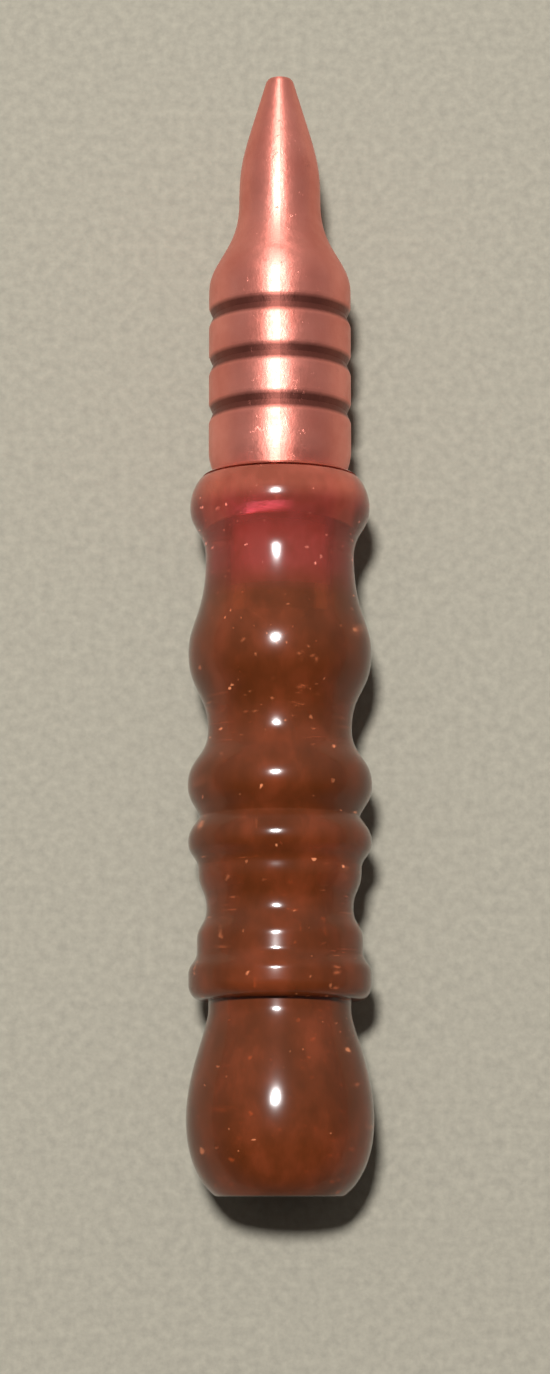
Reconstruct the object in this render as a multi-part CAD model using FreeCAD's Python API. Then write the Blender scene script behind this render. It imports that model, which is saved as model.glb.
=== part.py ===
import FreeCAD, Part
import math
import os

from FreeCAD import Vector

# A gem placing pen: a turned resin handle with a bonded threaded insert, and a
# metal nose that screws into it and holds a plug of soft wax in its tip.
#
# All sizes are millimetres. The pen lies on its side. Its axis runs along Y, with
# the flat butt at the -Y end and the tip at the +Y end. Z is up, Z = 0 is the
# surface the pen lies on, and the origin is midway along and across the pen.
# A "station" is a distance along the axis, counted from the butt.

# ---------------------------------------------------------------- handle, outside

blank_d = 20.9            # the round blank that the handle is turned from

# Depth of each cut below the blank's surface.
butt_cut = 3.1            # edge of the flat butt
tail_neck_cut = 2.47      # narrow neck in front of the bulb
tail_ring_cut = 0.21      # wide ring with the undercut rear face
bead_cut = 1.15           # low step in front of the wide ring
cove_cut = 2.22           # bottom of the short cove
shelf_cut = 1.28          # low step behind the rear ring
rear_ring_cut = 0.14      # rear one of the two paired rings
vee_cut = 1.45            # bottom of the vee between the paired rings
front_ring_cut = 0.06     # front one of the two paired rings
long_neck_cut = 2.32      # neck between the paired rings and the grip
grip_cut = 0.08           # swelling that the fingers hold
waist_cut = 2.02          # waist behind the collar
collar_cut = 0.21         # collar round the nose

# Length of each stretch along the axis, from the butt to the mouth.
butt_round = 8.4
bulb_fall = 12.2
tail_neck_land = 1.0
tail_ring_round = 1.8
tail_ring_land = 1.0
tail_ring_fall = 2.6
bead_land = 1.2
bead_fall = 3.6
cove_rise = 4.2
shelf_land = 0.3
rear_ring_rise = 3.0
rear_ring_fall = 2.85
front_ring_rise = 3.55
front_ring_fall = 6.3
grip_rise = 8.8
grip_fall = 10.9
collar_rise = 5.9
collar_round = 3.8

butt_edge = 0.4           # rounding of the edge of the flat butt
ring_face_h = 1.05        # height of the square, undercut face of the tail ring
lip_w = 0.5               # flat rim round the mouth

# ---------------------------------------------------------------- nose, outside

barrel_d = 16.3
base_draw = 0.62          # how much the barrel's radius draws in towards the mouth
base_round = 2.75         # length of that curve outside the mouth
barrel_back = 4.45        # mouth-side end of the barrel to the first groove
groove_count = 3
groove_pitch = 5.65
groove_depth = 0.5
groove_rise = 1.35        # wall of a groove on its mouth side
groove_fall = 1.25        # wall of a groove on its tip side
groove_edge = 0.3         # rounded stretch of each wall, next to the barrel
shoulder_land = 1.8
shoulder_fall = 10.6
throat_d = 9.4            # slim throat between the shoulder and the cone
cone_length = 15.0
tip_d = 3.2
tip_round = 0.4           # rounding of the tip's rim

# ---------------------------------------------------------------- the screw joint

plug_step = 1.03          # locating plug's radius, below the drawn-in base's
plug_clearance = 0.1      # plug to socket wall, on the radius
mouth_clearance = 0.2     # drawn-in base to the edge of the mouth, on the radius
socket_depth = 5.3        # socket for the plug and the ring behind it

seal_cord_d = 1.2         # section of the rubber ring
seal_clearance = 0.05     # gap left on each face of the rubber ring
seal_bore_gap = 0.15      # rubber ring to the thread's crest, on the radius

thread_d = 6.0            # crest of the stud's thread
thread_pitch = 1.0
thread_depth = 0.6
thread_bite = 0.1         # root of each ridge, sunk in the wall that carries it
thread_clearance = 0.06   # between the two threads, square to the axis
flank_clearance = 0.07    # between the two threads, along the axis
stud_runout = 0.5         # plain length of stud under the plug
stud_point = 0.7          # coned end of the stud

insert_d = 7.8
insert_length = 8.2
insert_chamfer = 0.35
stud_end_gap = 1.2        # end of the stud to the rear end of the insert
bore_spare = 3.4          # blind bore behind the insert
drill_point_angle = 118.0

bond_gap = 0.1            # film of adhesive between the insert and the bore
bond_squeeze = 1.3        # bead of adhesive pushed out behind the insert
bond_bead_t = 0.75        # thickness of that bead, on the radius

# ---------------------------------------------------------------- the wax

wax_bore_d = 1.7
wax_bore_depth = 6.0
wax_recess = 0.4          # wax surface below the rim of the tip
wax_clearance = 0.01      # wax to the wall of its bore, on the radius

# ---------------------------------------------------------------- worked out

blank_r = blank_d / 2
barrel_r = barrel_d / 2
thread_r = thread_d / 2
flank_slope = math.tan(math.radians(30))

handle_length = (
    butt_round + bulb_fall + tail_neck_land + tail_ring_round + tail_ring_land
    + tail_ring_fall + bead_land + bead_fall + cove_rise + shelf_land
    + rear_ring_rise + rear_ring_fall + front_ring_rise + front_ring_fall
    + grip_rise + grip_fall + collar_rise + collar_round
)
mouth_at = handle_length
socket_floor_at = mouth_at - socket_depth
bore_floor_at = socket_floor_at - insert_length - bore_spare
insert_rear_at = socket_floor_at - insert_length
plug_face_at = socket_floor_at + seal_cord_d + 2 * seal_clearance
stud_end_at = insert_rear_at + stud_end_gap

# On the +X side, the ridge of the stud's thread lies at whole pitches behind
# the socket's floor, and the ridge of the insert's thread lies midway between.
thread_crest_half = thread_pitch / 16
thread_end_w = thread_pitch / 2 + thread_bite
stud_plain_at = plug_face_at - stud_runout - thread_end_w
stud_pitches = math.floor((socket_floor_at - stud_end_at - stud_point - thread_end_w) / thread_pitch)
stud_ridge_at = socket_floor_at - stud_pitches * thread_pitch
stud_turns = math.floor((stud_plain_at - stud_ridge_at) / thread_pitch)
insert_ridge_room = insert_length - 2 * (insert_chamfer + thread_end_w)
insert_turns = math.floor(insert_ridge_room / thread_pitch)
insert_ridge_at = socket_floor_at - (insert_turns + 1.5) * thread_pitch

base_r = barrel_r - base_draw
mouth_r = base_r + mouth_clearance
plug_r = base_r - plug_step
socket_r = plug_r + plug_clearance
insert_r = insert_d / 2
bore_r = insert_r + bond_gap

barrel_at = mouth_at + base_round
first_groove_at = barrel_at + barrel_back
shoulder_at = first_groove_at + (groove_count - 1) * groove_pitch + groove_fall
throat_at = shoulder_at + shoulder_land + shoulder_fall
tip_at = throat_at + cone_length
pen_length = tip_at

axis_height = blank_r     # the bulb keeps the blank's full girth


class Lathe:
    """The half outline of a turned piece, cut as a chain of strokes.

    Each stroke starts where the last one ended. A point is (station, radius).
    """

    def __init__(self, station, radius):
        self.start = (station, radius)
        self.here = self.start
        self.edges = []

    def point(self, spot):
        return Vector(0, spot[0], spot[1])

    def straight(self, spot):
        self.edges.append(Part.makeLine(self.point(self.here), self.point(spot)))
        self.here = spot

    def face(self, radius):
        """A cut square to the axis, to another radius."""
        self.straight((self.here[0], radius))

    def land(self, length):
        """A cut along the axis."""
        self.straight((self.here[0] + length, self.here[1]))

    def taper(self, length, radius):
        """A straight cut to another station and radius."""
        self.straight((self.here[0] + length, radius))

    def bend(self, first, second, length, radius):
        """A curve whose two handles are given as offsets from its two ends."""
        end = (self.here[0] + length, radius)
        handles = [
            (self.here[0] + first[0], self.here[1] + first[1]),
            (end[0] + second[0], end[1] + second[1]),
        ]
        curve = Part.BezierCurve()
        curve.setPoles([self.point(s) for s in [self.here] + handles + [end]])
        self.edges.append(curve.toShape())
        self.here = end

    def turn_off(self, length, slope):
        """A rounded edge that leaves the axis' direction and ends at a slope."""
        third = length / 3
        end = self.here[1] + slope * length / 2
        self.bend((third, 0), (-third, -slope * third), length, end)

    def turn_on(self, length, slope):
        """A rounded edge that starts at a slope and ends along the axis."""
        third = length / 3
        end = self.here[1] + slope * length / 2
        self.bend((third, slope * third), (-third, 0), length, end)

    def flow(self, length, radius, leave=0.5, arrive=0.5):
        """A smooth curve that is parallel to the axis at both of its ends."""
        self.bend((leave * length, 0), (-arrive * length, 0), length, radius)

    def solid(self):
        """Close the outline back to its start, and turn it about the axis."""
        if self.here != self.start:
            self.straight(self.start)
        outline = Part.Face(Part.Wire(self.edges))
        body = outline.revolve(Vector(0, 0, 0), Vector(0, 1, 0), 360)
        body = Part.Solid(body) if body.ShapeType != "Solid" else body
        if body.Volume < 0:
            body.reverse()
        return body


def thread_coil(crest_r, root_r, crest_half, first_at, turns):
    """A right-handed coil with a thread's section, for fusing to a round wall.

    crest_half is half the width of the section at crest_r. The section widens
    towards root_r at the thread's flank angle. first_at is the station of the
    section's middle where the coil starts, on the +X side of the axis.
    """
    root_half = crest_half + abs(crest_r - root_r) * flank_slope
    corners = [
        Vector(root_r, 0, -root_half),
        Vector(crest_r, 0, -crest_half),
        Vector(crest_r, 0, crest_half),
        Vector(root_r, 0, root_half),
    ]
    section = Part.makePolygon(corners + corners[:1])
    helix = Part.makeHelix(thread_pitch, turns * thread_pitch, crest_r)
    coil = Part.Wire(helix).makePipeShell([section], True, True)
    if coil.Volume < 0:
        coil.reverse()
    coil.rotate(Vector(0, 0, 0), Vector(1, 0, 0), -90)
    coil.translate(Vector(0, first_at, 0))
    return coil


def drum(radius, first_at, last_at):
    """A plain cylinder on the axis between two stations."""
    length = last_at - first_at
    return Part.makeCylinder(radius, length, Vector(0, first_at, 0), Vector(0, 1, 0))


def make_handle():
    """Cast resin, turned all over, with a blind bore and a socket for the nose."""
    cut = Lathe(0, 0)
    cut.face(blank_r - butt_cut - butt_edge)
    cut.bend((0, 0.6 * butt_edge), (-0.3 * butt_edge, -0.33 * butt_edge), butt_edge,
             blank_r - butt_cut + 0.6 * butt_edge)
    rest_of_round = butt_round - butt_edge
    cut.bend((0.18 * rest_of_round, 0.198 * rest_of_round), (-0.48 * rest_of_round, 0),
             rest_of_round, blank_r)
    cut.flow(bulb_fall, blank_r - tail_neck_cut, 0.44, 0.18)
    cut.land(tail_neck_land)
    cut.face(cut.here[1] + ring_face_h)
    ring_round_h = blank_r - tail_ring_cut - cut.here[1]
    cut.bend(
        (0.1 * tail_ring_round, 0.6 * ring_round_h),
        (-0.5 * tail_ring_round, 0),
        tail_ring_round,
        blank_r - tail_ring_cut,
    )
    cut.land(tail_ring_land)
    cut.flow(tail_ring_fall, blank_r - bead_cut)
    cut.land(bead_land)
    cut.flow(bead_fall, blank_r - cove_cut)
    cut.flow(cove_rise, blank_r - shelf_cut)
    cut.land(shelf_land)
    cut.flow(rear_ring_rise, blank_r - rear_ring_cut, 0.4, 0.5)
    vee_r = blank_r - vee_cut
    cut.bend((0.49 * rear_ring_fall, 0), (-0.33 * rear_ring_fall, 0.52), rear_ring_fall, vee_r)
    cut.bend((0.3 * front_ring_rise, 0.32), (-0.5 * front_ring_rise, 0), front_ring_rise,
             blank_r - front_ring_cut)
    cut.flow(front_ring_fall, blank_r - long_neck_cut)
    cut.flow(grip_rise, blank_r - grip_cut)
    cut.flow(grip_fall, blank_r - waist_cut, 0.33, 0.59)
    cut.flow(collar_rise, blank_r - collar_cut, 0.54, 0.43)
    lip_r = mouth_r + lip_w
    cut.bend((0.5 * collar_round, 0), (-0.05 * collar_round, 0.9), collar_round, lip_r)
    cut.face(mouth_r)
    cut.taper(-(mouth_r - socket_r), socket_r)
    cut.land(socket_floor_at - cut.here[0])
    cut.face(bore_r)
    cut.land(bore_floor_at - socket_floor_at)
    cut.taper(-bore_r / math.tan(math.radians(drill_point_angle / 2)), 0)
    return cut.solid()


def make_threaded_insert():
    """A plain metal bush, threaded right through and chamfered at both mouths."""
    groove_root_r = thread_r + thread_clearance
    ridge_crest_r = groove_root_r - thread_depth
    chamfer_r = groove_root_r + insert_chamfer
    cut = Lathe(insert_rear_at, chamfer_r)
    cut.face(insert_r)
    cut.land(insert_length)
    cut.face(chamfer_r)
    cut.taper(-insert_chamfer, groove_root_r)
    cut.land(-(insert_length - 2 * insert_chamfer))
    bush = cut.solid()
    stud_half_there = thread_crest_half + (thread_r - ridge_crest_r) * flank_slope
    crest_half = thread_pitch / 2 - stud_half_there - flank_clearance
    ridge = thread_coil(
        ridge_crest_r,
        groove_root_r + thread_bite,
        crest_half,
        insert_ridge_at,
        insert_turns,
    )
    return bush.fuse(ridge).Solids[0]


def make_bond_epoxy():
    """The film of adhesive round the insert, and the bead pushed out behind it."""
    cut = Lathe(insert_rear_at - bond_squeeze, bore_r)
    cut.land(bond_squeeze + insert_length)
    cut.face(insert_r)
    cut.land(-insert_length)
    cut.face(bore_r - bond_bead_t)
    cut.bend((-0.5 * bond_squeeze, 0), (0, -0.4 * bond_bead_t), -bond_squeeze, bore_r)
    return cut.solid()


def make_o_ring():
    """A rubber ring round the stud, between the plug and the insert."""
    cord_r = seal_cord_d / 2
    centre_r = thread_r + seal_bore_gap + cord_r
    centre_at = (socket_floor_at + plug_face_at) / 2
    return Part.makeTorus(centre_r, cord_r, Vector(0, centre_at, 0), Vector(0, 1, 0))


def make_nose():
    """The metal nose: stud, plug, grooved barrel, shoulder, cone and hollow tip."""
    root_r = thread_r - thread_depth
    cut = Lathe(stud_end_at, 0)
    cut.face(root_r - stud_point / 2)
    cut.taper(stud_point, root_r)
    cut.land(plug_face_at - cut.here[0])
    cut.face(plug_r - insert_chamfer)
    cut.taper(insert_chamfer, plug_r)
    cut.land(mouth_at - plug_step - cut.here[0])
    cut.taper(plug_step, base_r)
    cut.bend((0.3 * base_round, 0.35 * base_draw), (-0.4 * base_round, 0), base_round, barrel_r)
    cut.land(barrel_back - groove_rise)
    floor_r = barrel_r - groove_depth
    rise_slope = groove_depth / (groove_rise - groove_edge / 2)
    fall_slope = groove_depth / (groove_fall - groove_edge / 2)
    for number in range(groove_count):
        if number:
            cut.land(groove_pitch - groove_rise - groove_fall)
        cut.turn_off(groove_edge, -rise_slope)
        cut.taper(groove_rise - groove_edge, floor_r)
        cut.taper(groove_fall - groove_edge, barrel_r - fall_slope * groove_edge / 2)
        cut.turn_on(groove_edge, fall_slope)
    cut.land(shoulder_land)
    cut.flow(shoulder_fall, throat_d / 2, 0.33, 0.54)
    cone_drop = throat_d / 2 - tip_d / 2
    cone_run = cone_length - tip_round
    cut.bend((0.36 * cone_run, 0), (-0.59 * cone_run, 0.82 * cone_drop), cone_run, tip_d / 2)
    cut.bend((0.6 * tip_round, -0.15), (0, 0.3 * tip_round), tip_round, tip_d / 2 - tip_round)
    cut.face(wax_bore_d / 2)
    cut.land(-wax_bore_depth)
    cut.taper(-wax_bore_d / 2 / math.tan(math.radians(drill_point_angle / 2)), 0)
    nose = cut.solid()
    ridge = thread_coil(
        thread_r, root_r - thread_bite, thread_crest_half, stud_ridge_at, stud_turns
    )
    return nose.fuse(ridge).Solids[0]


def make_wax_plug():
    """Soft wax pressed into the tip, which picks up the gems."""
    wax_r = wax_bore_d / 2 - wax_clearance
    top_at = tip_at - wax_recess
    length = wax_bore_depth - wax_recess - wax_clearance
    return drum(wax_r, top_at - length, top_at)


pieces = {
    "handle": make_handle(),
    "threaded_insert": make_threaded_insert(),
    "bond_epoxy": make_bond_epoxy(),
    "o_ring": make_o_ring(),
    "nose": make_nose(),
    "wax_plug": make_wax_plug(),
}

os.makedirs("parts", exist_ok=True)
for name, shape in pieces.items():
    shape.translate(Vector(0, -pen_length / 2, axis_height))
    shape.exportStep("parts/" + name + ".step")
    box = shape.BoundBox
    print(name, shape.ShapeType, len(shape.Solids), "solids, valid", shape.isValid(),
          "volume %.1f mm3" % shape.Volume,
          "y %.2f to %.2f" % (box.YMin, box.YMax), "r %.2f" % (box.ZLength / 2))
print("handle %.2f mm, pen %.2f mm, axis %.2f mm up" % (handle_length, pen_length, axis_height))
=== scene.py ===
# %% [markdown]
# # A gem placing pen, turned in see-through resin
#
# The pen is a turned grip of dark amber casting resin, with flakes of copper leaf
# cast inside it, and a screw-in nose of rose-coloured anodised aluminium. A fixed
# model of the parts is loaded first. This file gives those parts their finishes
# and adds what a plain solid can't show: the flakes inside the resin, the uneven
# glue behind the bush, and the marks that tools leave on metal.

# %% Load the parts
import math
import random

import bmesh
import bpy
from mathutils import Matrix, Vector


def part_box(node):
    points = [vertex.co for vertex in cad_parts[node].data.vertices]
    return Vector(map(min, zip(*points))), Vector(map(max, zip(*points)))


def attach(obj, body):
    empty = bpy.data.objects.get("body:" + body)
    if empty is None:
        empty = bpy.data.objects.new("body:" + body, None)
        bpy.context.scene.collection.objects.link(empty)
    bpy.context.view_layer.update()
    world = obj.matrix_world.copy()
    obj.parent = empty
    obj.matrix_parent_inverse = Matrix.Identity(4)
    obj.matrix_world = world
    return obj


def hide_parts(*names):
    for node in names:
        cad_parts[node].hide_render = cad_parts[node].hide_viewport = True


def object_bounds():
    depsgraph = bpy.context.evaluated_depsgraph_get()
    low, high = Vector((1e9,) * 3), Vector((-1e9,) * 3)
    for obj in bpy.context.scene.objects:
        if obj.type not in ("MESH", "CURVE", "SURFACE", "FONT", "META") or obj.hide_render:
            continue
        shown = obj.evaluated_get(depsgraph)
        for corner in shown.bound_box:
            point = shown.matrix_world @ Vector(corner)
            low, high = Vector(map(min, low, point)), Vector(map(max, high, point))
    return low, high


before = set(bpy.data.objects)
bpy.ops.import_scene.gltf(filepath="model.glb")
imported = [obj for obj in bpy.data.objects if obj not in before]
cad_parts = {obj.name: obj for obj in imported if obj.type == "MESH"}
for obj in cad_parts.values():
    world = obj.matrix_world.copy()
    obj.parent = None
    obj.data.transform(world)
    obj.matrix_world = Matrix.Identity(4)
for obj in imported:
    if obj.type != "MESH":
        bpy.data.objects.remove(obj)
cad_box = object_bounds()
scene = bpy.context.scene
mm = 0.001
print("the parts:", sorted(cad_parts))

# %% [markdown]
# ## Places along the pen
#
# Everything on a turned piece is a distance along its axis and a radius from it.
# The pen lies along Y, so two facts from the loaded parts are enough to place
# anything: where the butt is, and how high the axis is. Inside the handle, a threaded
# metal bush sits in the bore, and a wider socket in front of it takes the nose.

# %% The axis, the bush, and a helper for places
butt_y = cad_box[0].y
tip_y = cad_box[1].y
axis_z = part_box("handle")[1].z / 2
bush_low, bush_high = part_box("threaded_insert")
bush_r = (bush_high.z - bush_low.z) / 2
socket_r = 7.0 * mm


def spot(station, radius=0.0, turn=0.0):
    """A point from the butt along the axis, out from it, and round it from the top."""
    return Vector((
        radius * math.sin(turn),
        butt_y + station,
        axis_z + radius * math.cos(turn),
    ))


print("pen length %.2f mm, axis %.2f mm up" % ((tip_y - butt_y) / mm, axis_z / mm))

# %% [markdown]
# ## The camera
#
# A long lens stands over the butt and leans a little towards the tip, so the pen
# gets narrower away from the butt and the rear walls of its grooves can be seen.

# %% Camera
eye_height = 368 * mm
eye_aside = -0.56 * mm
lean = math.radians(8.8)

camera_data = bpy.data.cameras.new("camera")
camera_data.lens = 86.2
camera_data.sensor_width = 36.0
camera_data.clip_start = 0.01
camera = bpy.data.objects.new("camera", camera_data)
camera.location = (eye_aside, butt_y, axis_z + eye_height)
camera.rotation_euler = (lean, 0, 0)
scene.collection.objects.link(camera)
scene.camera = camera
print("camera %.0f mm above the axis" % (eye_height / mm))

# %% [markdown]
# ## Materials, built by a few small helpers
#
# Each finish is a tree of nodes. These helpers make a material, add a node, join
# two sockets, and make the two patterns that most finishes here share: noise
# stretched along an axis, and a bump that reads it. All of them use Object
# coordinates, which stay with the piece when it moves.

# %% Node helpers
def new_material(name):
    material = bpy.data.materials.new(name)
    material.use_nodes = True
    tree = material.node_tree
    shader = tree.nodes["Principled BSDF"]
    return material, tree, shader


def add(tree, kind, **inputs):
    node = tree.nodes.new(kind)
    for name, value in inputs.items():
        node.inputs[name.replace("_", " ")].default_value = value
    return node


def join(tree, output, socket):
    tree.links.new(output, socket)


def place(tree, scale=(1, 1, 1), shift=(0, 0, 0)):
    """The piece's own coordinates, scaled along each axis."""
    where = tree.nodes.new("ShaderNodeTexCoord")
    mapping = add(tree, "ShaderNodeMapping", Scale=scale, Location=shift)
    join(tree, where.outputs["Object"], mapping.inputs["Vector"])
    return mapping.outputs["Vector"]


def noise(tree, vector, scale, detail=3.0, roughness=0.5):
    node = add(tree, "ShaderNodeTexNoise", Scale=scale, Detail=detail, Roughness=roughness)
    join(tree, vector, node.inputs["Vector"])
    return node.outputs["Fac"]


def remap(tree, value, low, high, to_low, to_high):
    node = add(tree, "ShaderNodeMapRange", From_Min=low, From_Max=high, To_Min=to_low, To_Max=to_high)
    join(tree, value, node.inputs["Value"])
    return node.outputs["Result"]


def ramp(tree, value, stops):
    node = tree.nodes.new("ShaderNodeValToRGB")
    band = node.color_ramp
    while len(band.elements) < len(stops):
        band.elements.new(0.5)
    for element, (at, colour) in zip(band.elements, stops):
        element.position = at
        element.color = (*colour, 1)
    join(tree, value, node.inputs["Fac"])
    return node.outputs["Color"]


def bump(tree, height, depth, strength=1.0, below=None):
    node = add(tree, "ShaderNodeBump", Strength=strength, Distance=depth)
    join(tree, height, node.inputs["Height"])
    if below is not None:
        join(tree, below, node.inputs["Normal"])
    return node.outputs["Normal"]


def mix_colour(tree, factor, a, b):
    blend = tree.nodes.new("ShaderNodeMix")
    blend.data_type = "RGBA"
    sockets = {s.identifier: s for s in blend.inputs}
    join(tree, factor, sockets["Factor_Float"])
    for name, value in (("A_Color", a), ("B_Color", b)):
        if isinstance(value, tuple):
            sockets[name].default_value = (*value, 1)
        else:
            join(tree, value, sockets[name])
    return next(s for s in blend.outputs if s.identifier == "Result_Color")


def finish(piece, material):
    """Give every face of a piece one material."""
    piece.data.materials.clear()
    piece.data.materials.append(material)


# %% [markdown]
# ## Floor and light
#
# The pen lies on a plain pale floor. One soft lamp hangs high above, just beyond
# the tip and a little to the left. Polished resin mirrors it as a small bright
# patch on the crown of every ring, and satin metal draws it out into a streak. The
# sky is dim, and brighter towards the tip's end of the room than behind the butt,
# so walls that face the butt look dark, as the grooves' walls do on the real nose.

# %% Floor
def make_floor():
    half = 1.5
    mesh = bpy.data.meshes.new("floor")
    corners = [(-half, -half, 0), (half, -half, 0), (half, half, 0), (-half, half, 0)]
    mesh.from_pydata(corners, [], [(0, 1, 2, 3)])
    floor = bpy.data.objects.new("floor", mesh)
    scene.collection.objects.link(floor)
    material, tree, shader = new_material("pale_floor")
    grain = noise(tree, place(tree), 900.0, 4.0, 0.6)
    colour = ramp(tree, grain, [(0.3, (0.235, 0.217, 0.172)), (0.7, (0.30, 0.277, 0.218))])
    join(tree, colour, shader.inputs["Base Color"])
    shader.inputs["Roughness"].default_value = 0.85
    join(tree, bump(tree, grain, 0.1 * mm, 0.4), shader.inputs["Normal"])
    finish(floor, material)


make_floor()

# %% Lamp and sky
def aim(thing, target):
    thing.rotation_euler = (target - thing.location).to_track_quat("-Z", "Y").to_euler()


def make_lamp(name, location, size, power, target):
    data = bpy.data.lights.new(name, "AREA")
    data.shape = "ELLIPSE"
    data.size, data.size_y = size
    data.energy = power
    lamp = bpy.data.objects.new(name, data)
    lamp.location = location
    scene.collection.objects.link(lamp)
    aim(lamp, target)
    return lamp


def make_sky(dark, bright, strength):
    """A sky that is brighter at the tip's end of the room, and near the floor all round."""
    sky = bpy.data.worlds.new("sky")
    sky.use_nodes = True
    tree = sky.node_tree
    where = tree.nodes.new("ShaderNodeTexCoord")
    parts = tree.nodes.new("ShaderNodeSeparateXYZ")
    join(tree, where.outputs["Generated"], parts.inputs["Vector"])
    to_tip = remap(tree, parts.outputs["Y"], -1.0, 1.0, 0.0, 1.0)
    along = ramp(tree, to_tip, [(0.3, dark), (0.75, bright)])
    low = remap(tree, parts.outputs["Z"], 0.45, 0.0, 0.0, 0.6)
    colour = mix_colour(tree, low, along, bright)
    join(tree, colour, tree.nodes["Background"].inputs["Color"])
    tree.nodes["Background"].inputs["Strength"].default_value = strength
    scene.world = sky


pen_middle = spot((tip_y - butt_y) / 2)
lamp_place = Vector((-0.11, butt_y + 0.297, axis_z + 1.11))
lamp = make_lamp("lamp", lamp_place, (0.17, 0.12), 20.0, pen_middle)
make_sky((0.05, 0.045, 0.04), (1.0, 0.94, 0.88), 0.34)
scene.view_settings.view_transform = "Standard"
print("lamp at", tuple(round(v, 3) for v in lamp_place))

# %% [markdown]
# ## The handle's skin
#
# The handle was turned on a lathe, so its whole shape is one outline spun round
# the axis. The loaded part is made of long thin triangles, and polished resin
# would show every one of them in its reflections. So its corners are read as an
# outline, and Geometry Nodes spin that outline again as an even mesh: a grid whose
# rows are the outline's points and whose columns are steps round the axis.

# %% The outline, read from the loaded part
def outline_of(node):
    """The outline of a turned part with a blind bore, from the butt's middle round to the bore's end."""
    places = set()
    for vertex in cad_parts[node].data.vertices:
        station = round(vertex.co.y - butt_y, 7)
        radius = round(math.hypot(vertex.co.x, vertex.co.z - axis_z), 7)
        places.add((station, radius))
    mouth = max(station for station, radius in places)
    edge = 1e-6
    skin = [p for p in places if p[0] < mouth - edge and (p[1] > socket_r or p[0] < edge)]
    rim = [p for p in places if p[0] > mouth - edge]
    bore = [p for p in places if p[0] < mouth - edge and p[1] < socket_r and p[0] > edge]
    skin.sort()
    rim.sort(key=lambda p: -p[1])
    bore.sort(key=lambda p: (-p[0], -p[1]))
    ends = [(0.0, 0.0)] if skin[0][1] > edge else []
    return ends + skin + rim + bore


def bonded(outline):
    """The outline with its bore closed onto the bush: resin and glue are one to the eye there."""
    first, last = bush_low.y - butt_y, bush_high.y - butt_y
    sunk = bush_r - 0.005 * mm
    closed = []
    for station, radius in outline:
        at_floor = abs(station - last) < 0.4 * mm and radius < bush_r + 0.3 * mm
        closed.append((station, sunk if at_floor else radius))
        if at_floor:
            closed.append((first, sunk))
            closed.append((first, radius))
    return closed


handle_outline = bonded(outline_of("handle"))
print(len(handle_outline), "points on the outline")

# %% [markdown]
# ### Helpers for Geometry Nodes
#
# Both trees in this file are built the same way: a group with named inputs, sums on
# sockets, and at the end the result is realised, given its finish, and kept as a
# plain mesh.

# %% Geometry Nodes helpers
def new_tree(name, *sockets):
    """A node group with a geometry going in and coming out, and named inputs between."""
    tree = bpy.data.node_groups.new(name, "GeometryNodeTree")
    tree.interface.new_socket("Geometry", in_out="INPUT", socket_type="NodeSocketGeometry")
    for label, kind, value in sockets:
        socket = tree.interface.new_socket(label, in_out="INPUT", socket_type=kind)
        if value is not None:
            socket.default_value = value
    tree.interface.new_socket("Geometry", in_out="OUTPUT", socket_type="NodeSocketGeometry")
    return tree, tree.nodes.new("NodeGroupInput"), tree.nodes.new("NodeGroupOutput")


def sum_node(tree, operation, a, b=None):
    """A Math node whose inputs are sockets or numbers."""
    node = tree.nodes.new("ShaderNodeMath")
    node.operation = operation
    for socket, value in zip(node.inputs, (a, b)):
        if isinstance(value, (int, float)):
            socket.default_value = value
        elif value is not None:
            join(tree, value, socket)
    return node.outputs[0]


def xyz(tree, x, y, z):
    node = tree.nodes.new("ShaderNodeCombineXYZ")
    for socket, value in zip(node.inputs, (x, y, z)):
        if isinstance(value, (int, float)):
            socket.default_value = value
        else:
            join(tree, value, socket)
    return node.outputs[0]


def dress(tree, geometry, material, made):
    """The end of a tree: real geometry with its finish on it."""
    whole = tree.nodes.new("GeometryNodeRealizeInstances")
    join(tree, geometry, whole.inputs[0])
    dressed = tree.nodes.new("GeometryNodeSetMaterial")
    join(tree, whole.outputs[0], dressed.inputs["Geometry"])
    join(tree, material, dressed.inputs["Material"])
    join(tree, dressed.outputs[0], made.inputs[0])


def run_tree(tree, source, values, name):
    """Put a tree on a mesh, set its inputs, and keep what it makes as a plain mesh."""
    carrier = bpy.data.objects.new(name + "_source", source)
    scene.collection.objects.link(carrier)
    modifier = carrier.modifiers.new(name, "NODES")
    modifier.node_group = tree
    for item in tree.interface.items_tree:
        if item.in_out == "INPUT" and item.name in values:
            modifier[item.identifier] = values[item.name]
    shown = carrier.evaluated_get(bpy.context.evaluated_depsgraph_get())
    made = bpy.data.meshes.new_from_object(shown)
    bpy.data.objects.remove(carrier)
    made.name = name
    piece = bpy.data.objects.new(name, made)
    scene.collection.objects.link(piece)
    print(name, len(made.vertices), "corners", len(made.polygons), "faces")
    return piece


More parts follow.
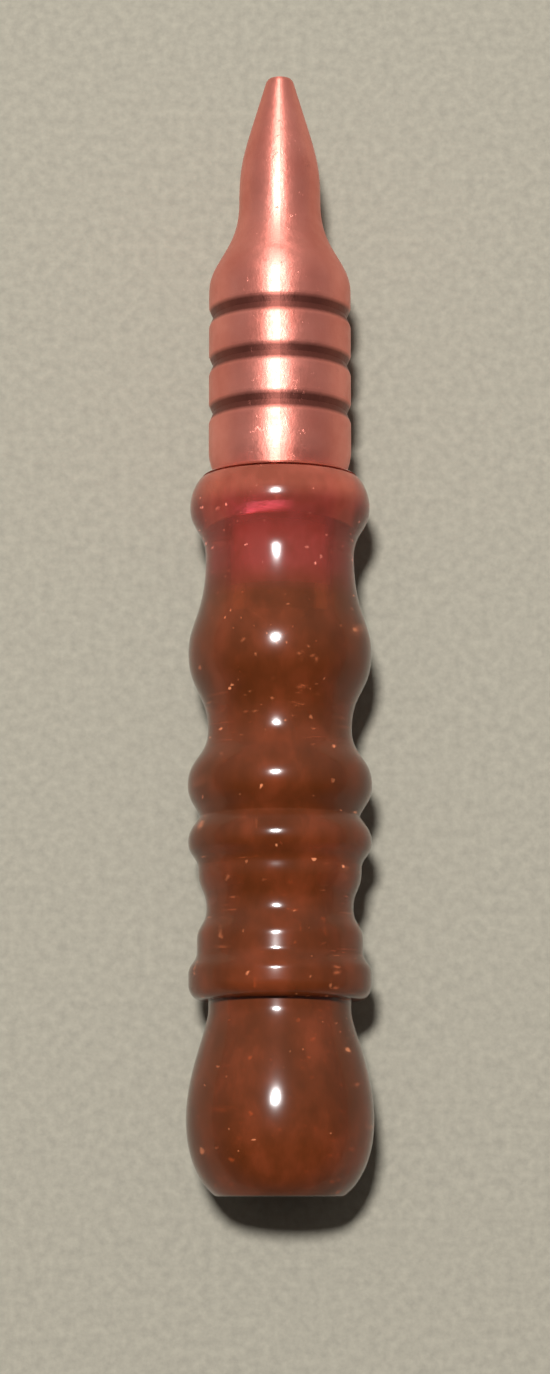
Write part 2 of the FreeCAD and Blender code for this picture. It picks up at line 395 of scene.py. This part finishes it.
# %% A lathe in Geometry Nodes
def spin(tree, given):
    """A grid with a row for each point of the outline, bent round the axis."""
    steps = given.outputs["Steps Round"]
    count = tree.nodes.new("GeometryNodeAttributeDomainSize")
    join(tree, given.outputs["Geometry"], count.inputs[0])
    columns = sum_node(tree, "ADD", steps, 1)
    grid = tree.nodes.new("GeometryNodeMeshGrid")
    join(tree, count.outputs["Point Count"], grid.inputs["Vertices X"])
    join(tree, columns, grid.inputs["Vertices Y"])
    index = tree.nodes.new("GeometryNodeInputIndex").outputs[0]
    row = sum_node(tree, "FLOOR", sum_node(tree, "DIVIDE", sum_node(tree, "ADD", index, 0.5), columns))
    column = sum_node(tree, "SUBTRACT", index, sum_node(tree, "MULTIPLY", row, columns))
    turn = sum_node(tree, "DIVIDE", sum_node(tree, "MULTIPLY", column, 2 * math.pi), steps)
    where = tree.nodes.new("GeometryNodeInputPosition").outputs[0]
    pick = tree.nodes.new("GeometryNodeSampleIndex")
    pick.data_type = "FLOAT_VECTOR"
    join(tree, given.outputs["Geometry"], pick.inputs["Geometry"])
    join(tree, where, pick.inputs["Value"])
    join(tree, row, pick.inputs["Index"])
    parts = tree.nodes.new("ShaderNodeSeparateXYZ")
    join(tree, pick.outputs[0], parts.inputs[0])
    radius = parts.outputs["Z"]
    round_x = sum_node(tree, "MULTIPLY", radius, sum_node(tree, "SINE", turn))
    round_z = sum_node(tree, "MULTIPLY", radius, sum_node(tree, "COSINE", turn))
    bent = tree.nodes.new("GeometryNodeSetPosition")
    join(tree, grid.outputs["Mesh"], bent.inputs["Geometry"])
    height = sum_node(tree, "ADD", round_z, given.outputs["Axis Height"])
    join(tree, xyz(tree, round_x, parts.outputs["Y"], height), bent.inputs["Position"])
    return bent.outputs[0]


def smooth_but_creased(tree, geometry, sharp_angle):
    """Smooth shading, with an edge kept sharp where its faces meet at a wide angle."""
    smooth = tree.nodes.new("GeometryNodeSetShadeSmooth")
    join(tree, geometry, smooth.inputs["Geometry"])
    angle = tree.nodes.new("GeometryNodeInputMeshEdgeAngle")
    creased = sum_node(tree, "GREATER_THAN", angle.outputs[0], sharp_angle)
    sharp = tree.nodes.new("GeometryNodeSetShadeSmooth")
    sharp.domain = "EDGE"
    sharp.inputs["Shade Smooth"].default_value = False
    join(tree, smooth.outputs[0], sharp.inputs["Geometry"])
    join(tree, creased, sharp.inputs["Selection"])
    return sharp.outputs[0]


def lathe_tree():
    tree, given, made = new_tree(
        "turned_piece",
        ("Steps Round", "NodeSocketInt", 96),
        ("Axis Height", "NodeSocketFloat", 0.01),
        ("Sharp Angle", "NodeSocketFloat", 0.6),
        ("Finish", "NodeSocketMaterial", None),
    )
    merged = tree.nodes.new("GeometryNodeMergeByDistance")
    merged.inputs["Distance"].default_value = 1e-6
    join(tree, spin(tree, given), merged.inputs["Geometry"])
    shaded = smooth_but_creased(tree, merged.outputs[0], given.outputs["Sharp Angle"])
    dress(tree, shaded, given.outputs["Finish"], made)
    return tree


def face_outwards(piece):
    mesh = bmesh.new()
    mesh.from_mesh(piece.data)
    bmesh.ops.recalc_face_normals(mesh, faces=mesh.faces)
    mesh.to_mesh(piece.data)
    mesh.free()


# %% [markdown]
# ## Resin
#
# Casting resin is see-through, so part of its colour comes from depth: light is
# absorbed on its way through, which paint on the surface can't show. A glass shader
# with Volume Absorption does that. The pigment is murky, so it throws some light
# straight back: about a third of the shader is plain colour, in slow brown clouds.
# Over the metal bush it is painted pinker, and at the collar paler: a painted glow of
# the metal seen through the resin. The wall of the socket is nearly clear, so the ring
# inside keeps its own colour. The surface is polished, and a thin coat gives it small
# sharp highlights over a duller base.

# %% The resin's colour
def place_y(tree):
    parts = tree.nodes.new("ShaderNodeSeparateXYZ")
    join(tree, place(tree), parts.inputs[0])
    return parts.outputs["Y"]


def radius_here(tree):
    """The distance from the pen's axis, at each place on a piece."""
    parts = tree.nodes.new("ShaderNodeSeparateXYZ")
    join(tree, place(tree, shift=(0, 0, -axis_z)), parts.inputs[0])
    x_squared = sum_node(tree, "POWER", parts.outputs["X"], 2.0)
    z_squared = sum_node(tree, "POWER", parts.outputs["Z"], 2.0)
    return sum_node(tree, "SQRT", sum_node(tree, "ADD", x_squared, z_squared))


def resin_colour(tree):
    """Brown clouds, with a painted pink glow over the bush and a painted paler glow at the collar,
    nearly clear in the socket.
    """
    clouds = noise(tree, place(tree, (1, 0.7, 1)), 230.0, 4.0, 0.6)
    browns = [(0.36, (0.23, 0.054, 0.014)), (0.5, (0.29, 0.065, 0.018)), (0.68, (0.42, 0.088, 0.028))]
    plain = ramp(tree, clouds, browns)
    # Painted glow of the metal seen through the resin: pink over the bush, and the paler lit colour at
    # the collar.
    pink = ramp(tree, clouds, [(0.36, (0.36, 0.064, 0.036)), (0.62, (0.54, 0.095, 0.072))])
    lit = ramp(tree, clouds, [(0.36, (0.58, 0.14, 0.08)), (0.62, (0.86, 0.21, 0.13))])
    over_bush = remap(tree, place_y(tree), bush_low.y - 1.5 * mm, bush_low.y + 2 * mm, 0.0, 1.0)
    at_mouth = remap(tree, place_y(tree), bush_high.y + 0.8 * mm, bush_high.y + 2.4 * mm, 0.0, 1.0)
    bored = remap(tree, radius_here(tree), socket_r + 0.4 * mm, socket_r + 0.2 * mm, 0.0, 1.0)
    in_socket = sum_node(tree, "GREATER_THAN", place_y(tree), bush_high.y + 0.1 * mm)
    clear = sum_node(tree, "MULTIPLY", bored, in_socket)
    outside = mix_colour(tree, at_mouth, mix_colour(tree, over_bush, plain, pink), lit)
    return mix_colour(tree, clear, outside, (0.96, 0.72, 0.92))


# %% Resin on the handle
def make_resin():
    material, tree, shader = new_material("cast_resin")
    join(tree, resin_colour(tree), shader.inputs["Base Color"])
    shader.inputs["Transmission Weight"].default_value = 0.68
    shader.inputs["IOR"].default_value = 1.42
    shader.inputs["Roughness"].default_value = 0.17
    shader.inputs["Specular IOR Level"].default_value = 0.12
    shader.inputs["Coat Weight"].default_value = 0.22
    shader.inputs["Coat Roughness"].default_value = 0.09
    ripple = noise(tree, place(tree), 140.0, 2.0)
    join(tree, bump(tree, ripple, 0.03 * mm, 0.5), shader.inputs["Normal"])
    depth = add(tree, "ShaderNodeVolumeAbsorption", Density=48.0)
    depth.inputs["Color"].default_value = (0.82, 0.32, 0.17, 1)
    join(tree, depth.outputs["Volume"], tree.nodes["Material Output"].inputs["Volume"])
    return material


outline_mesh = bpy.data.meshes.new("outline")
outline_mesh.from_pydata([(0, butt_y + s, r) for s, r in handle_outline], [], [])
sizes = {"Steps Round": 128, "Axis Height": axis_z, "Sharp Angle": 0.6, "Finish": make_resin()}
handle_skin = run_tree(lathe_tree(), outline_mesh, sizes, "handle_skin")
face_outwards(handle_skin)
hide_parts("handle")
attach(handle_skin, "handle")
skin_size = [round(v / mm, 2) for v in handle_skin.dimensions]
print("skin size in mm:", skin_size)

# %% [markdown]
# The lamp's light bends as it goes into the resin. Marking the lamp, the resin and
# what lies inside it lets the renderer find that bent path, so the metal in the bore
# is lit instead of lying in shadow.

# %% Light through the resin
lamp.data.cycles.is_caustics_light = True
handle_skin.cycles.is_caustics_caster = True
for inside in ("nose", "threaded_insert", "o_ring", "bond_epoxy"):
    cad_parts[inside].cycles.is_caustics_receiver = True

# %% [markdown]
# ## Anodised metal
#
# The nose is turned aluminium, dyed a rose copper. The lathe leaves very fine
# rings round it, which spread the lamp's reflection along the pen into a streak.
# An anisotropic shader does that with little noise. Its tangent is the way that
# the reflection is drawn out: along the axis, square to the tool's marks. The three
# grooves are painted darker, a painted shade on their walls and floors. The bush in the bore is
# the same kind of metal in a pinker dye.

# %% Patterns on the metal
def along_the_axis(tree):
    """The direction that the rings spread a reflection in: along the pen."""
    turn = tree.nodes.new("ShaderNodeVectorTransform")
    turn.vector_type = "VECTOR"
    turn.convert_from = "OBJECT"
    turn.convert_to = "WORLD"
    turn.inputs[0].default_value = (0, 1, 0)
    return turn.outputs[0]


def groove_painted_shade(tree):
    """One in the three grooves of the barrel, where the metal gets painted shade, and nothing elsewhere.
    """
    low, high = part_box("nose")
    barrel_r = (high.z - low.z) / 2
    grooves_start, grooves_end = high.y - 41.6 * mm, high.y - 26.9 * mm
    sunk = remap(tree, radius_here(tree), barrel_r - 0.04 * mm, barrel_r - 0.24 * mm, 0.0, 1.0)
    past_start = sum_node(tree, "GREATER_THAN", place_y(tree), grooves_start)
    before_end = sum_node(tree, "LESS_THAN", place_y(tree), grooves_end)
    on_barrel = sum_node(tree, "MULTIPLY", past_start, before_end)
    return sum_node(tree, "MULTIPLY", sunk, on_barrel)


def tool_marks(tree, where):
    """Fine rings round the axis, chatter over them, and a few small dents."""
    rings = noise(tree, place(tree, (40, 7000, 40)), 1.0, 4.0, 0.7)
    turned = bump(tree, rings, 0.015 * mm, 0.6)
    chatter = noise(tree, place(tree, (1, 0.5, 1)), 2200.0, 4.0, 0.7)
    rough = bump(tree, chatter, 0.05 * mm, 0.5, turned)
    spots = noise(tree, where, 520.0, 5.0, 0.8)
    dents = remap(tree, spots, 0.62, 0.72, 0.0, -1.0)
    return bump(tree, dents, 0.08 * mm, 0.5, rough)


# %% Metal on the nose and the bush
def make_anodised(name, dark, light, metallic):
    material, tree, shader = new_material(name)
    where = place(tree)
    blotch = noise(tree, where, 160.0, 3.0)
    colour = ramp(tree, blotch, [(0.3, dark), (0.7, light)])
    shade = tuple(0.30 * c for c in dark)
    # Painted shade: the colour is darkened in the grooves, where their walls would fall dark.
    join(tree, mix_colour(tree, groove_painted_shade(tree), colour, shade), shader.inputs["Base Color"])
    shader.inputs["Metallic"].default_value = metallic
    shader.inputs["Anisotropic"].default_value = 0.72
    join(tree, along_the_axis(tree), shader.inputs["Tangent"])
    wear = noise(tree, where, 700.0, 5.0, 0.7)
    join(tree, remap(tree, wear, 0.3, 0.75, 0.40, 0.62), shader.inputs["Roughness"])
    join(tree, tool_marks(tree, where), shader.inputs["Normal"])
    return material


rose_metal = make_anodised("rose_metal", (0.80, 0.25, 0.19), (0.95, 0.34, 0.27), 0.88)
pink_metal = make_anodised("pink_metal", (1.0, 0.26, 0.36), (1.0, 0.40, 0.50), 0.5)
finish(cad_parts["nose"], rose_metal)
finish(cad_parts["threaded_insert"], pink_metal)

# %% [markdown]
# ## Rubber and wax
#
# A thin ring of magenta rubber is squeezed between the bush and the nose, and a plug
# of soft pink wax fills the tip and holds the gem. The resin gathers light on one side
# of the ring and shows it as a bright line. Finding that light by tracing it through
# the resin would take very many samples, so the ring's finish gives it off instead.

# %% Small parts
def make_plain(name, dark, light, roughness):
    """A soft solid colour with slow clouds in it and a faint unevenness."""
    material, tree, shader = new_material(name)
    cloud = noise(tree, place(tree), 300.0, 4.0)
    join(tree, ramp(tree, cloud, [(0.35, dark), (0.65, light)]), shader.inputs["Base Color"])
    shader.inputs["Roughness"].default_value = roughness
    join(tree, bump(tree, cloud, 0.05 * mm, 0.3), shader.inputs["Normal"])
    return material


def make_ring_rubber():
    """Dyed rubber, with the line of light that the resin gathers on one side of it."""
    material = make_plain("magenta_rubber", (0.9, 0.08, 0.75), (1.0, 0.18, 0.95), 0.3)
    tree = material.node_tree
    parts = tree.nodes.new("ShaderNodeSeparateXYZ")
    join(tree, place(tree), parts.inputs[0])
    low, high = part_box("o_ring")
    ring_y = (low.y + high.y) / 2
    one_side = remap(tree, parts.outputs["X"], 1.6 * mm, -0.6 * mm, 0.0, 1.0)
    off_middle = sum_node(tree, "ABSOLUTE", sum_node(tree, "SUBTRACT", parts.outputs["Y"], ring_y))
    line = remap(tree, off_middle, 0.42 * mm, 0.16 * mm, 0.03, 1.0)
    lit = sum_node(tree, "MULTIPLY", one_side, line)
    shader = tree.nodes["Principled BSDF"]
    join(tree, mix_colour(tree, lit, (0, 0, 0), (0.55, 0.50, 1.0)), shader.inputs["Emission Color"])
    shader.inputs["Emission Strength"].default_value = 10.0
    return material


finish(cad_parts["o_ring"], make_ring_rubber())
finish(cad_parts["wax_plug"], make_plain("pink_wax", (0.80, 0.34, 0.40), (0.88, 0.45, 0.50), 0.5))

# %% [markdown]
# ## Glue
#
# The glue that holds the bush was squeezed out behind it, further on one side than
# on the other, and its edge wandered as it ran. It is a thin sleeve just inside the
# bore: a ring of corners on each edge, and the free edge moved along the axis by a
# slow wave and a little noise.

# %% One cut through the glue
def glue_section(turn, phases, start, outer, thick):
    """The six corners of the glue's cut face at one turn round the axis."""
    tilt = 0.42 * math.sin(turn + 0.35)
    ripple = 0.12 * math.sin(3 * turn + phases[0]) + 0.06 * math.sin(7 * turn + phases[1])
    run = max(0.75 + tilt + ripple, 0.12) * mm
    lump = thick * (0.8 + 0.2 * math.sin(5 * turn + phases[2]))
    return [
        (start, outer),
        (start - 0.7 * run, outer),
        (start - run, outer - 0.25 * lump),
        (start - 0.85 * run, outer - 0.7 * lump),
        (start - 0.3 * run, outer - lump),
        (start, outer - lump),
    ]


# %% Glue behind the bush
def make_glue():
    steps = 96
    outer = bush_r + 0.07 * mm
    thick = 0.45 * mm
    start = bush_low.y - butt_y - 0.02 * mm
    draw = random.Random(5)
    phases = [draw.uniform(0, 2 * math.pi) for _ in range(3)]
    mesh = bmesh.new()
    rows = []
    for k in range(steps):
        turn = 2 * math.pi * k / steps
        section = glue_section(turn, phases, start, outer, thick)
        rows.append([mesh.verts.new(spot(s, r, turn)) for s, r in section])
    for k in range(steps):
        here, after = rows[k], rows[(k + 1) % steps]
        for j in range(len(here)):
            beside = (j + 1) % len(here)
            mesh.faces.new((here[j], here[beside], after[beside], after[j]))
    bmesh.ops.recalc_face_normals(mesh, faces=mesh.faces)
    data = bpy.data.meshes.new("glue_bead")
    mesh.to_mesh(data)
    mesh.free()
    data.shade_smooth()
    piece = bpy.data.objects.new("glue_bead", data)
    scene.collection.objects.link(piece)
    finish(piece, make_plain("old_glue", (0.75, 0.16, 0.16), (0.90, 0.24, 0.22), 0.4))
    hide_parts("bond_epoxy")
    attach(piece, "handle")


make_glue()

# %% [markdown]
# ## Copper leaf in the resin
#
# Torn leaf was stirred into the resin before it set. The flakes lie at every depth
# and angle, and there are more of them in some places than in others. Geometry
# Nodes scatter points on the handle's skin, draw each one in towards the axis by a
# random share, and put one of a few torn flakes there. Round the bore, a point
# stops before it reaches the metal.

# %% Torn flakes to scatter
def make_flake(draw, corners):
    """A closed, slightly folded scrap with a torn outline, about one unit across."""
    mesh = bmesh.new()
    rim = []
    for k in range(corners):
        turn = 2 * math.pi * (k + draw.uniform(-0.3, 0.3)) / corners
        reach = draw.uniform(0.25, 0.6)
        fold = draw.uniform(-0.12, 0.12)
        rim.append(Vector((reach * math.cos(turn), 0.7 * reach * math.sin(turn), fold)))
    lift = Vector((0, 0, 0.05))
    top = [mesh.verts.new(p + lift) for p in rim]
    low = [mesh.verts.new(p - lift) for p in rim]
    mid_top = mesh.verts.new(Vector((0, 0, 0.16)))
    mid_low = mesh.verts.new(Vector((0, 0, 0.04)))
    for k in range(corners):
        after = (k + 1) % corners
        mesh.faces.new((mid_top, top[k], top[after]))
        mesh.faces.new((mid_low, low[after], low[k]))
        mesh.faces.new((top[k], low[k], low[after], top[after]))
    bmesh.ops.recalc_face_normals(mesh, faces=mesh.faces)
    data = bpy.data.meshes.new("flake")
    mesh.to_mesh(data)
    mesh.free()
    return bpy.data.objects.new("flake", data)


draw_flakes = random.Random(11)
flake_shapes = bpy.data.collections.new("flake_shapes")
for corner_count in (5, 6, 7, 8):
    flake_shapes.objects.link(make_flake(draw_flakes, corner_count))


# %% Steps of the scatter in Geometry Nodes
def random_value(tree, low, high, seed, kind="FLOAT"):
    node = tree.nodes.new("FunctionNodeRandomValue")
    node.data_type = kind
    for socket in node.inputs:
        if socket.enabled and socket.name == "Min":
            socket.default_value = low
        if socket.enabled and socket.name == "Max":
            socket.default_value = high
        if socket.name == "Seed":
            socket.default_value = seed
    return next(s for s in node.outputs if s.enabled)


def scatter_points(tree, of, where):
    """Points on the skin, thick in some patches and thin in others."""
    patches = noise(tree, where, 1.0, 2.0, 0.6)
    join(tree, of["Patchiness"], patches.node.inputs["Scale"])
    share = remap(tree, patches, 0.42, 0.68, 0.12, 1.0)
    spread = tree.nodes.new("GeometryNodeDistributePointsOnFaces")
    join(tree, of["Geometry"], spread.inputs["Mesh"])
    join(tree, sum_node(tree, "MULTIPLY", share, of["Amount"]), spread.inputs["Density"])
    join(tree, of["Seed"], spread.inputs["Seed"])
    return spread.outputs["Points"]


def least_radius(tree, of, y):
    """How near the axis a flake may lie: clear of the bore, and of the socket."""
    in_bore = sum_node(tree, "GREATER_THAN", y, of["Bore Starts"])
    in_socket = sum_node(tree, "GREATER_THAN", y, of["Socket Starts"])
    past_bore = sum_node(tree, "MULTIPLY", in_bore, of["Bore Radius"])
    past_socket = sum_node(tree, "MULTIPLY", in_socket, of["Socket Radius"])
    return sum_node(tree, "MAXIMUM", past_bore, past_socket)


def draw_inwards(tree, of, where, points):
    """Each point drawn towards the axis by a random share, and dropped where there is no room."""
    parts = tree.nodes.new("ShaderNodeSeparateXYZ")
    join(tree, where, parts.inputs[0])
    x, y, z = (parts.outputs[name] for name in "XYZ")
    up = sum_node(tree, "SUBTRACT", z, of["Axis Height"])
    squared = sum_node(tree, "ADD", sum_node(tree, "POWER", x, 2.0), sum_node(tree, "POWER", up, 2.0))
    skin_r = sum_node(tree, "MAXIMUM", sum_node(tree, "SQRT", squared), 1e-5)
    least = least_radius(tree, of, y)
    most = sum_node(tree, "SUBTRACT", skin_r, of["Largest"])
    room = sum_node(tree, "SUBTRACT", most, least)
    deep = sum_node(tree, "SQRT", random_value(tree, 0.05, 1.0, 3))
    reach = sum_node(tree, "ADD", least, sum_node(tree, "MULTIPLY", deep, room))
    pull = sum_node(tree, "DIVIDE", reach, skin_r)
    new_z = sum_node(tree, "ADD", sum_node(tree, "MULTIPLY", up, pull), of["Axis Height"])
    sunk = tree.nodes.new("GeometryNodeSetPosition")
    join(tree, points, sunk.inputs["Geometry"])
    join(tree, xyz(tree, sum_node(tree, "MULTIPLY", x, pull), y, new_z), sunk.inputs["Position"])
    kept = tree.nodes.new("GeometryNodeDeleteGeometry")
    join(tree, sunk.outputs[0], kept.inputs["Geometry"])
    no_room = sum_node(tree, "LESS_THAN", room, 0.2 * mm)
    past_end = sum_node(tree, "LESS_THAN", y, of["First Place"])
    join(tree, sum_node(tree, "MAXIMUM", no_room, past_end), kept.inputs["Selection"])
    return kept.outputs[0]


# %% The whole scatter
def scatter_tree():
    tree, given, made = new_tree(
        "leaf_in_resin",
        ("Amount", "NodeSocketFloat", 60000.0),
        ("Smallest", "NodeSocketFloat", 0.0003),
        ("Largest", "NodeSocketFloat", 0.0008),
        ("Axis Height", "NodeSocketFloat", 0.01),
        ("First Place", "NodeSocketFloat", -1.0),
        ("Bore Starts", "NodeSocketFloat", 0.0),
        ("Bore Radius", "NodeSocketFloat", 0.005),
        ("Socket Starts", "NodeSocketFloat", 0.0),
        ("Socket Radius", "NodeSocketFloat", 0.007),
        ("Patchiness", "NodeSocketFloat", 120.0),
        ("Seed", "NodeSocketInt", 1),
        ("Shapes", "NodeSocketCollection", None),
        ("Finish", "NodeSocketMaterial", None),
    )
    of = given.outputs
    where = tree.nodes.new("GeometryNodeInputPosition").outputs[0]
    points = draw_inwards(tree, of, where, scatter_points(tree, of, where))
    shapes = tree.nodes.new("GeometryNodeCollectionInfo")
    shapes.inputs["Separate Children"].default_value = True
    join(tree, of["Shapes"], shapes.inputs["Collection"])
    stand = tree.nodes.new("GeometryNodeInstanceOnPoints")
    join(tree, points, stand.inputs["Points"])
    join(tree, shapes.outputs[0], stand.inputs["Instance"])
    stand.inputs["Pick Instance"].default_value = True
    any_way = random_value(tree, (0, 0, 0), (2 * math.pi, 2 * math.pi, 2 * math.pi), 5, "FLOAT_VECTOR")
    join(tree, any_way, stand.inputs["Rotation"])
    grown = sum_node(tree, "POWER", random_value(tree, 0.0, 1.0, 7), 2.5)
    range_of = sum_node(tree, "SUBTRACT", of["Largest"], of["Smallest"])
    size = sum_node(tree, "ADD", of["Smallest"], sum_node(tree, "MULTIPLY", grown, range_of))
    join(tree, xyz(tree, size, size, size), stand.inputs["Scale"])
    dress(tree, stand.outputs[0], of["Finish"], made)
    return tree


# %% [markdown]
# The leaf is copper, tarnished in places. Clear scraps catch the light and dull ones
# don't, and each scrap also gives off a painted glow that follows the same slow noise as its colour.

# %% Leaf
def make_leaf():
    """Copper that gives off a little light, for the glitter that the resin gathers."""
    material, tree, shader = new_material("copper_leaf")
    tone = noise(tree, place(tree), 500.0, 2.0)
    coppers = [(0.35, (0.95, 0.22, 0.10)), (0.55, (1.0, 0.42, 0.20)), (0.7, (1.0, 0.30, 0.22))]
    colour = ramp(tree, tone, coppers)
    join(tree, colour, shader.inputs["Base Color"])
    shader.inputs["Metallic"].default_value = 0.5
    join(tree, remap(tree, tone, 0.3, 0.7, 0.25, 0.5), shader.inputs["Roughness"])
    # Painted glow: the flakes give off light of their own for the glitter, brighter where the tone is
    # clear.
    lit = ramp(tree, tone, [(0.40, (0.10, 0.06, 0.05)), (0.60, (1.0, 0.85, 0.75))])
    join(tree, lit, shader.inputs["Emission Color"])
    shader.inputs["Emission Strength"].default_value = 1.6
    return material


leaf_sizes = {
    "Amount": 210000.0,
    "Smallest": 0.20 * mm,
    "Largest": 0.75 * mm,
    "Axis Height": axis_z,
    "First Place": butt_y + 0.7 * mm,
    "Bore Starts": bush_low.y - 5.5 * mm,
    "Bore Radius": 4.6 * mm,
    "Socket Starts": bush_high.y - 0.8 * mm,
    "Socket Radius": socket_r + 0.1 * mm,
    "Patchiness": 120.0,
    "Seed": 4,
    "Shapes": flake_shapes,
    "Finish": make_leaf(),
}
flakes = run_tree(scatter_tree(), handle_skin.data.copy(), leaf_sizes, "leaf_flakes")
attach(flakes, "handle")
flakes.cycles.is_caustics_receiver = True

print("flakes:", len(flakes.data.polygons), "faces")
